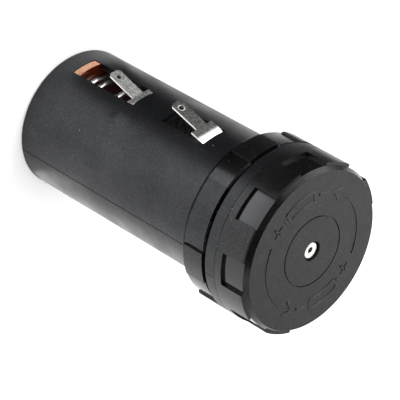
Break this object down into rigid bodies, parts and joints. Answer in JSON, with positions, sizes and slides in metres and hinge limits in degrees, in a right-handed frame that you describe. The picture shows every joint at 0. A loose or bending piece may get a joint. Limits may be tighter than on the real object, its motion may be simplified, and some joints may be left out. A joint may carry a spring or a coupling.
{
  "type": "cylindrical cell holder",
  "caption": "Panel-mounting tube for one cylindrical cell, with a screw cap, a ring nut behind the flange and two solder tags in side windows.",
  "frame": {"origin": "centre of the closed rear end", "axes": "+Z along the tube towards the cap, +X towards the solder tags"},
  "size_m": [0.0471, 0.0468, 0.0894],
  "materials": {
    "moulding": "matt black moulding",
    "cap_moulding": "matt black moulding",
    "nut_moulding": "satin black moulding",
    "tinned_metal": "dull tinned",
    "nickel_plate": "bright nickel",
    "resin_board": "glossy resin-bonded paper",
    "spring_wire": "bright drawn wire"
  },
  "bodies": {
    "holder": {"holder_body": "moulding", "front_contact": "tinned_metal", "spring_disc": "resin_board", "contact_spring": "spring_wire"},
    "cap": {"cap_shell": "cap_moulding", "cap_eyelet": "nickel_plate", "cap_contact": "nickel_plate"},
    "nut": {"fixing_nut": "nut_moulding"},
    "slider": {"sprung_contact": "tinned_metal"}
  },
  "joints": [
    {"name": "cap_off", "type": "slide", "parent": "holder", "child": "cap", "axis": [0, 0, 1], "range_m": [0, 0.03]},
    {"name": "nut_run", "type": "slide", "parent": "holder", "child": "nut", "axis": [0, 0, -1], "range_m": [0, 0.009]},
    {"name": "contact_push", "type": "slide", "parent": "holder", "child": "slider", "axis": [0, 0, -1], "range_m": [0, 0.011], "stiffness_N_per_m": 900, "springref_m": -0.004, "deforming": ["contact_spring"]}
  ]
}
